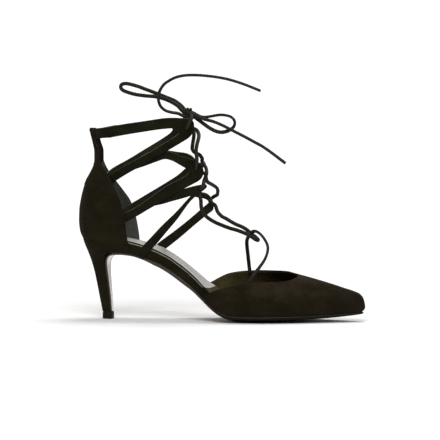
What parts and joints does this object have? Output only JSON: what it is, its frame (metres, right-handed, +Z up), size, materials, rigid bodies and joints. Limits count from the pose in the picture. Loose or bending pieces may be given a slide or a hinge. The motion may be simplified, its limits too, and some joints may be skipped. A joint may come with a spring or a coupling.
{
  "type": "lace-up pump",
  "caption": "Pointed-toe high-heeled suede pump with an open waist, a heel cup with a back tab, folded straps around the ankle and a cord lace tied in a bow at the front.",
  "frame": {"origin": "on the floor, under the middle of the shoe's box without the bow and the lace ends", "axes": "+X to the toe, +Y to the medial side, +Z up"},
  "size_m": [0.2494, 0.0774, 0.2112],
  "materials": {
    "suede": "napped suede, black",
    "sole_leather": "smooth sole leather, satin, dark at the edge",
    "sock_leather": "smooth pale grey leather, satin",
    "tip": "matt black",
    "cord": "waxed braid, a little flat"
  },
  "bodies": {
    "root": {"heel": "suede", "insole_board": "suede", "counter": "suede", "vamp": "suede", "collar_strap": "suede", "upper_strap_lateral": "suede", "upper_strap_medial": "suede", "middle_strap_lateral": "suede", "middle_strap_medial": "suede", "lower_strap_lateral": "suede", "lower_strap_medial": "suede", "outsole": "sole_leather", "insole_sock": "sock_leather", "heel_tip": "tip", "vamp_loop": "cord", "lace_low": "cord", "lace_mid": "cord", "lace_high_lateral": "cord", "lace_high_medial": "cord", "bow_knot": "cord", "bow_loop_back": "cord", "bow_loop_front": "cord", "lace_end_upper": "cord", "lace_end_lower": "cord"}
  },
  "joints": []
}
